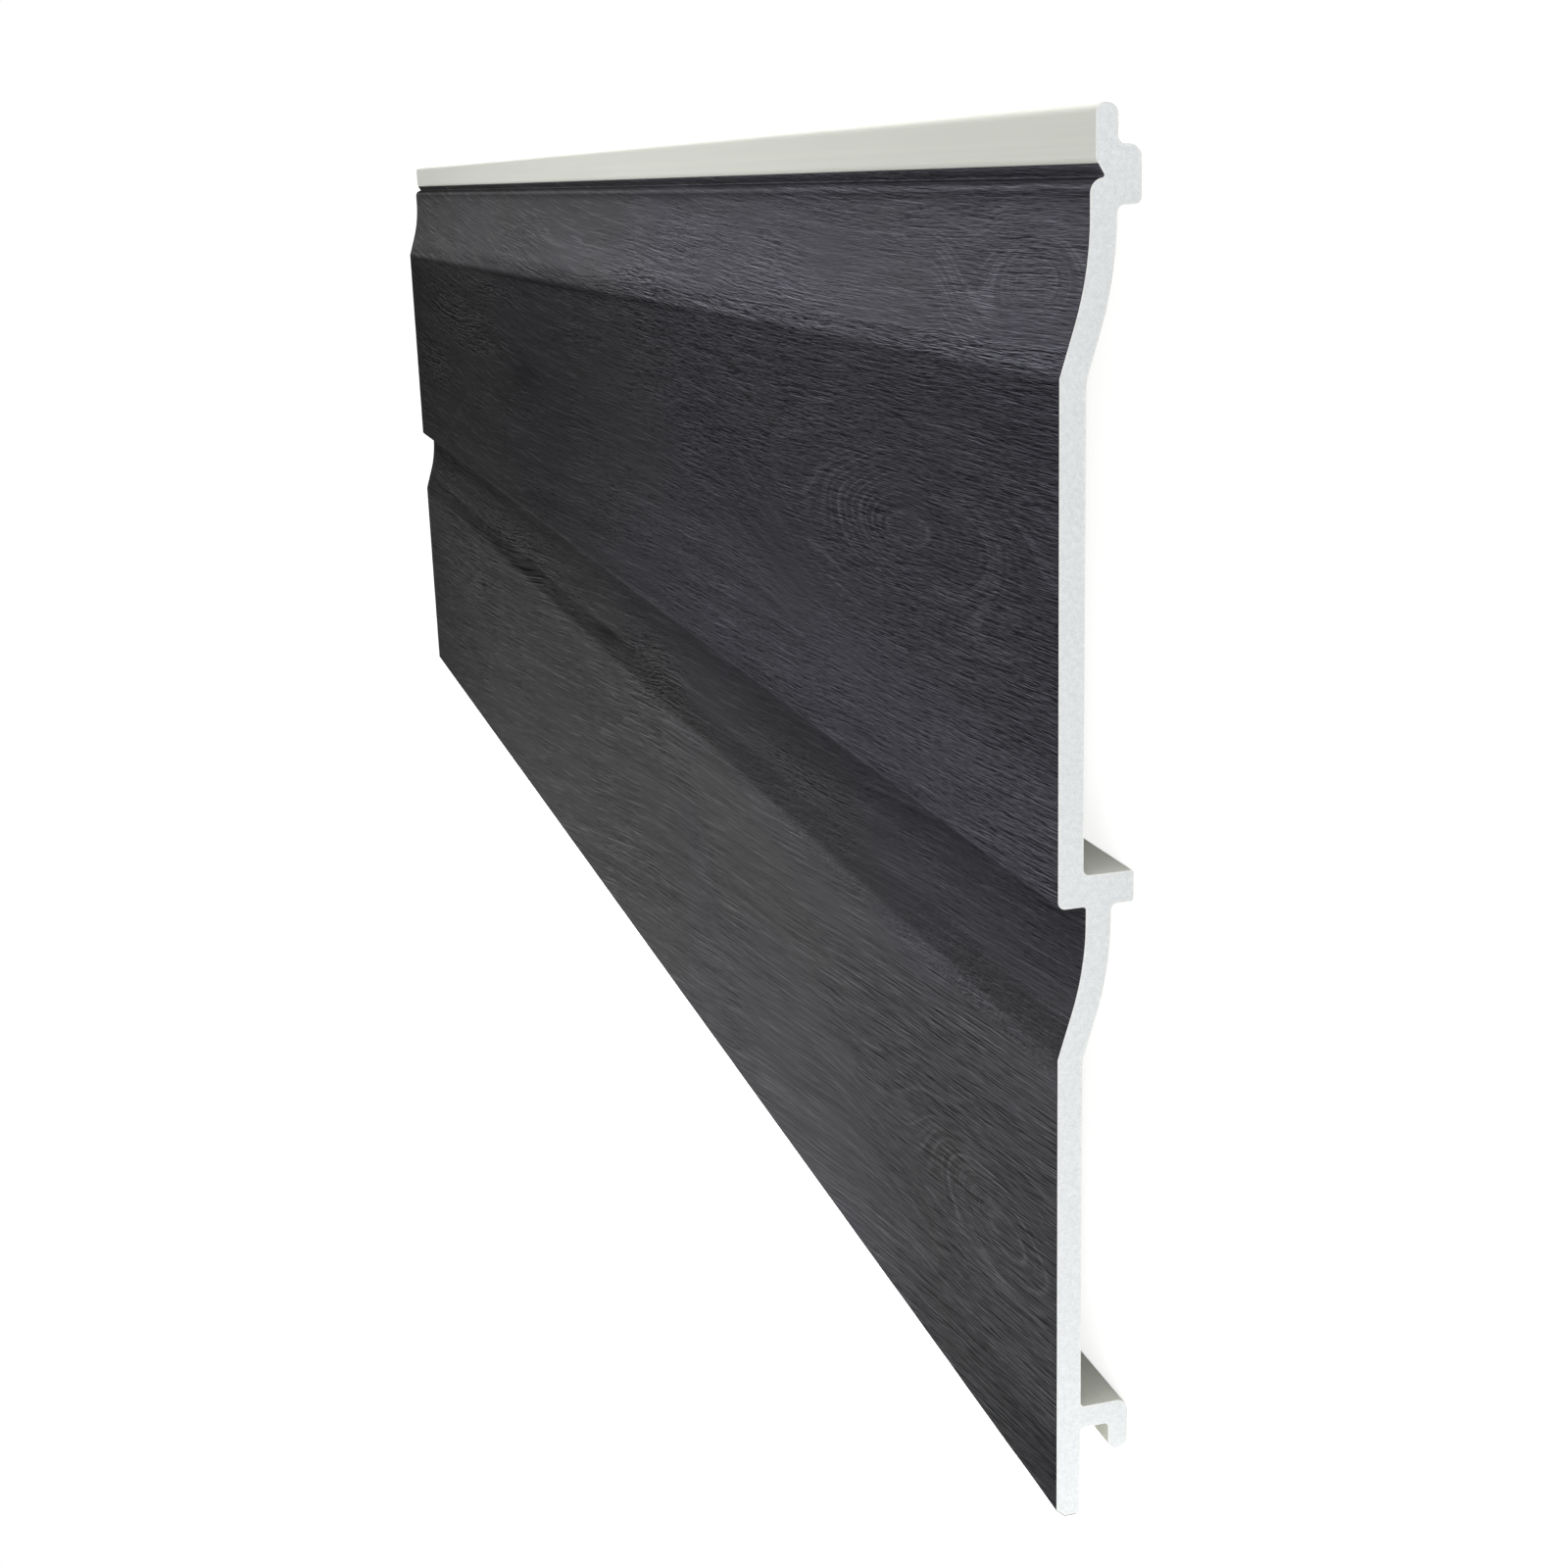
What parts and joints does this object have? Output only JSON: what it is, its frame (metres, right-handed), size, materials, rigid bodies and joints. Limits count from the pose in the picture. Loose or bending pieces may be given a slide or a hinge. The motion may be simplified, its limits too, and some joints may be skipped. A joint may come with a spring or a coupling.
{
  "type": "shiplap cladding board",
  "caption": "Wide shiplap cladding board: coved planks with a step between, a tongue and nailing notch along the top, a hook behind the bottom edge, dark woodgrain face.",
  "frame": {"origin": "under the middle of the board, on the plane of the ribs' backs that it lies on", "axes": "+X along the board, +Y up the wall when it is hung, towards the tongue, +Z out of the wall"},
  "size_m": [1.05, 0.3208, 0.0182],
  "materials": {
    "cellular_pvc": "foamed PVC: smooth satin skin outside, fine white foam on the sawn ends",
    "woodgrain_foil": "satin anthracite laminate foil with an embossed wood grain along the board"
  },
  "bodies": {
    "root": {"cladding_board": "cellular_pvc", "woodgrain_foil": "woodgrain_foil"}
  },
  "joints": []
}
